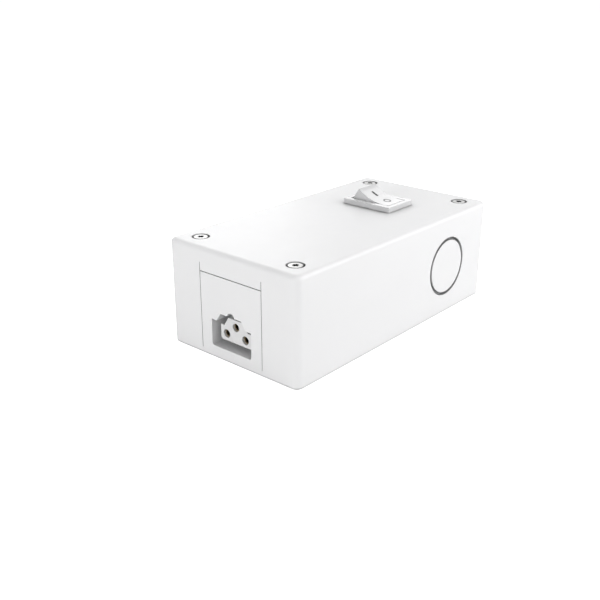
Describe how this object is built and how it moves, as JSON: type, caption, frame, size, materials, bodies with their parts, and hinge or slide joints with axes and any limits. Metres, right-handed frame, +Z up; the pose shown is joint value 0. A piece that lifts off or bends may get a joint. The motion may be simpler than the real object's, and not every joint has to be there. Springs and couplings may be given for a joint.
{
  "type": "mains junction box with switch",
  "caption": "White plastic mains junction box with a screwed-down deep cover, round cable knockouts, a rocker switch on top and a keyed three-pin link socket in one end.",
  "frame": {"origin": "centre of the base plate's underside, which is the face that goes against the wall or cabinet", "axes": "+Z up out of the mounting surface towards the switch, -Y towards the link socket end, +X towards the O end of the rocker"},
  "size_m": [0.0628, 0.12, 0.0477],
  "materials": {
    "white_housing": "fine satin moulding",
    "carrier_plastic": "fine matte moulding",
    "switch_plastic": "satin",
    "nylon": "natural, slightly milky",
    "plated_steel": "nickel plated",
    "spring_steel": "drawn wire",
    "brass": "turned, slightly dull",
    "plated_copper": "stamped, with a silver contact",
    "tinned_brass": "tin plated",
    "black_insulation": "soft PVC",
    "red_insulation": "soft PVC",
    "white_insulation": "soft PVC",
    "green_insulation": "soft PVC"
  },
  "bodies": {
    "housing": {"cover": "white_housing", "base_plate": "white_housing", "cover_screws": "plated_steel", "threaded_inserts": "brass", "socket_housing": "white_housing", "contact_carrier": "carrier_plastic", "contact_retainer": "carrier_plastic", "retainer_screws": "plated_steel", "live_contact": "brass", "neutral_contact": "brass", "earth_contact": "brass", "switch_body": "switch_plastic", "common_terminal": "brass", "load_terminal": "brass", "spade_connectors": "tinned_brass", "connector_sleeves": "nylon", "terminal_block": "nylon", "terminal_clamps": "brass", "terminal_screws": "plated_steel", "terminal_block_screws": "plated_steel", "supply_live_wire": "black_insulation", "switched_live_wire": "red_insulation", "neutral_wire": "white_insulation", "earth_wire": "green_insulation"},
    "rocker": {"rocker": "switch_plastic", "plunger_spring": "spring_steel"},
    "plunger": {"rocker_plunger": "nylon"},
    "contact_lever": {"contact_lever": "plated_copper"}
  },
  "joints": [
    {"name": "rocker_tilt", "type": "hinge", "parent": "housing", "child": "rocker", "pos_m": [0, 0.02585, 0.03955], "axis": [0, -1, 0], "range_deg": [0, 32]},
    {"name": "contact_lever_tilt", "type": "hinge", "parent": "housing", "child": "contact_lever", "pos_m": [0, 0.02585, 0.03095], "axis": [0, -1, 0], "range_deg": [-16, 0]},
    {"name": "plunger_slide", "type": "slide", "parent": "rocker", "child": "plunger", "axis": [0.2756, 0, 0.9613], "range_m": [0, 0.0006], "deforming": ["plunger_spring"]}
  ],
  "couplings": [
    {"joint": "contact_lever_tilt", "follows": "rocker_tilt", "ratio": -0.5}
  ]
}
